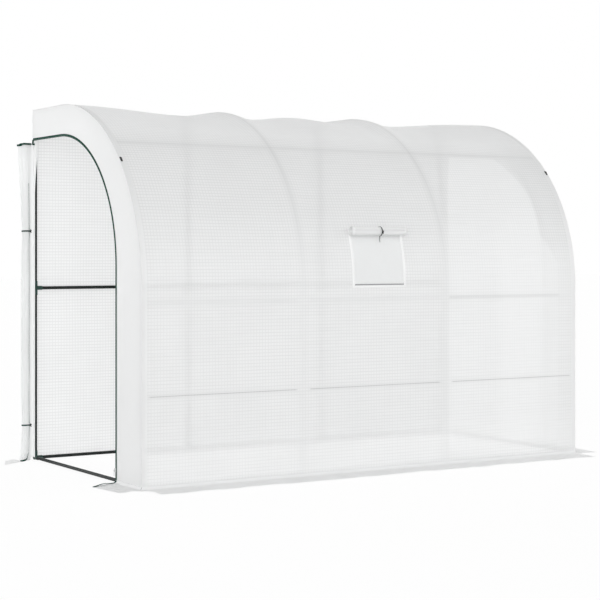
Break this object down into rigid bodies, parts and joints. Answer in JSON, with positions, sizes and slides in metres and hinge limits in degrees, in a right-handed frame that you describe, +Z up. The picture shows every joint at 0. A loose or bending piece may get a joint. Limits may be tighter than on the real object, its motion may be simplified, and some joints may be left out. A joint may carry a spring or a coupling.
{
  "type": "lean-to greenhouse",
  "caption": "Walk-in lean-to greenhouse with a curved tubular frame, a translucent film cover, roll-up end doors and a front window with a roll-up flap.",
  "frame": {"origin": "centre of the whole greenhouse's footprint, on the ground", "axes": "+X along the length towards the right end, +Y towards the wall that it leans on, +Z up"},
  "size_m": [3.462, 1.7, 2.115],
  "materials": {
    "steel_tube": "satin",
    "connector_plastic": "matte",
    "cover_film": "translucent satin",
    "window_film": "translucent satin",
    "zip_green": "matte",
    "tie_green": "matte",
    "mesh_white": "open mesh",
    "fastener_grey": "matte",
    "tie_black": "matte",
    "loop_black": "matte",
    "zip_hardware": "satin"
  },
  "bodies": {
    "frame": {"back_panel": "cover_film", "cover_bay_1": "cover_film", "cover_bay_2": "cover_film", "cover_bay_3": "cover_film", "front_bottom_rail": "steel_tube", "front_foot_connectors": "connector_plastic", "front_leg_1": "steel_tube", "front_leg_2": "steel_tube", "front_leg_3": "steel_tube", "front_leg_4": "steel_tube", "front_lower_connectors": "connector_plastic", "front_lower_rail": "steel_tube", "front_middle_connectors": "connector_plastic", "front_middle_rail": "steel_tube", "front_skirt": "cover_film", "guy_loops": "loop_black", "hoop_lower_1": "steel_tube", "hoop_lower_2": "steel_tube", "hoop_lower_3": "steel_tube", "hoop_lower_4": "steel_tube", "hoop_upper_1": "steel_tube", "hoop_upper_2": "steel_tube", "hoop_upper_3": "steel_tube", "hoop_upper_4": "steel_tube", "left_door_seam": "cover_film", "left_end_bottom_rail": "steel_tube", "left_end_panel": "cover_film", "left_end_skirt": "cover_film", "left_zip_tape": "zip_green", "purlin_connectors": "connector_plastic", "rear_post_1": "steel_tube", "rear_post_2": "steel_tube", "rear_post_3": "steel_tube", "rear_post_4": "steel_tube", "right_end_bottom_rail": "steel_tube", "right_end_panel": "cover_film", "right_end_skirt": "cover_film", "right_zip_tape": "zip_green", "roof_purlin": "steel_tube", "wall_bottom_rail": "steel_tube", "wall_foot_connectors": "connector_plastic", "wall_middle_connectors": "connector_plastic", "wall_middle_rail": "steel_tube", "wall_top_connectors": "connector_plastic", "wall_top_rail": "steel_tube", "window_border": "window_film", "window_fastener": "fastener_grey", "window_flap_hem": "window_film", "window_mesh": "mesh_white"},
    "left_door": {"left_door_roll": "cover_film", "left_door_top_tape": "tie_green", "left_door_ties": "tie_green"},
    "right_door": {"right_door_panel": "cover_film", "right_door_zip_tape": "zip_green"},
    "left_zip_slider": {"left_zip_slider": "zip_hardware"},
    "left_zip_pull": {"left_zip_pull": "zip_hardware"},
    "right_zip_slider": {"right_zip_slider": "zip_hardware"},
    "right_zip_pull": {"right_zip_pull": "zip_hardware"},
    "window_flap": {"window_flap_roll": "window_film", "window_flap_tie": "tie_black"}
  },
  "joints": [
    {"name": "left_door_swing", "type": "hinge", "parent": "frame", "child": "left_door", "pos_m": [-1.509, 0.82, 0], "axis": [0, 0, 1], "range_deg": [0, 60]},
    {"name": "right_door_swing", "type": "hinge", "parent": "frame", "child": "right_door", "pos_m": [1.531, 0.84, 0], "axis": [0, 0, 1], "range_deg": [0, 90]},
    {"name": "left_zip_slide", "type": "slide", "parent": "frame", "child": "left_zip_slider", "axis": [0, 0, 1], "range_m": [0, 1.05]},
    {"name": "right_zip_slide", "type": "slide", "parent": "frame", "child": "right_zip_slider", "axis": [0, 0, 1], "range_m": [0, 1.05]},
    {"name": "left_zip_pull_swing", "type": "hinge", "parent": "left_zip_slider", "child": "left_zip_pull", "pos_m": [-1.48, -0.332, 0.071], "axis": [0, 1, 0], "range_deg": [0, 150]},
    {"name": "right_zip_pull_swing", "type": "hinge", "parent": "right_zip_slider", "child": "right_zip_pull", "pos_m": [1.542, -0.332, 0.071], "axis": [0, -1, 0], "range_deg": [0, 150]},
    {"name": "window_flap_unroll", "type": "hinge", "parent": "frame", "child": "window_flap", "pos_m": [0.051, 0.415, 1.05], "axis": [1, 0, 0], "range_deg": [0, 16]}
  ]
}
